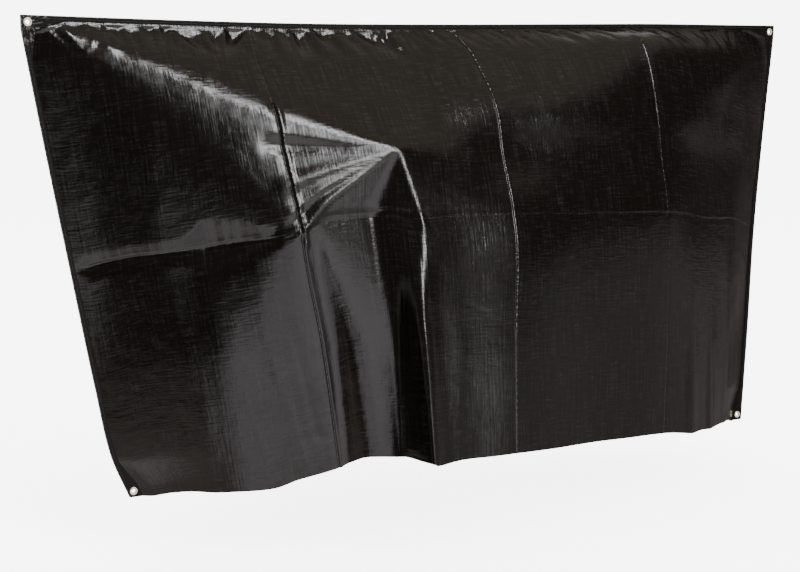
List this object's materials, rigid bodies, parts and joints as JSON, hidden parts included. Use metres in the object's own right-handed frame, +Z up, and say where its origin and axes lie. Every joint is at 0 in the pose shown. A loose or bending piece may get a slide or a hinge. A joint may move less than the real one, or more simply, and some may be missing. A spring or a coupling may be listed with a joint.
{
  "type": "bicycle cover",
  "caption": "Rectangular bag of coated woven sheet, closed along the ridge and both ends and open below, with an eyelet at each corner; hangs over bicycles against rain and dust.",
  "frame": {"origin": "in the hollow under the middle of the ridge, 50 mm below the level of the ridge's left corner", "axes": "+X along the ridge to its right end, -Y out of the front panel, +Z up"},
  "size_m": [2.372, 1.021, 1.2775],
  "materials": {
    "front_panel": "woven polyethylene, coated, semi-gloss",
    "back_panel": "woven polyethylene, coated, semi-gloss",
    "ridge_strip": "woven polyethylene, coated, semi-gloss",
    "left_strip": "woven polyethylene, coated, semi-gloss",
    "right_strip": "woven polyethylene, coated, semi-gloss",
    "eyelet_top_left": "pale plated",
    "eyelet_top_right": "pale plated",
    "eyelet_foot_left": "pale plated",
    "eyelet_foot_right": "pale plated",
    "washer_top_left": "pale plated",
    "washer_top_right": "pale plated",
    "washer_foot_left": "pale plated",
    "washer_foot_right": "pale plated"
  },
  "bodies": {
    "root": {"front_panel": "front_panel", "back_panel": "back_panel", "ridge_strip": "ridge_strip", "left_strip": "left_strip", "right_strip": "right_strip", "eyelet_top_left": "eyelet_top_left", "eyelet_top_right": "eyelet_top_right", "eyelet_foot_left": "eyelet_foot_left", "eyelet_foot_right": "eyelet_foot_right", "washer_top_left": "washer_top_left", "washer_top_right": "washer_top_right", "washer_foot_left": "washer_foot_left", "washer_foot_right": "washer_foot_right"}
  },
  "joints": []
}
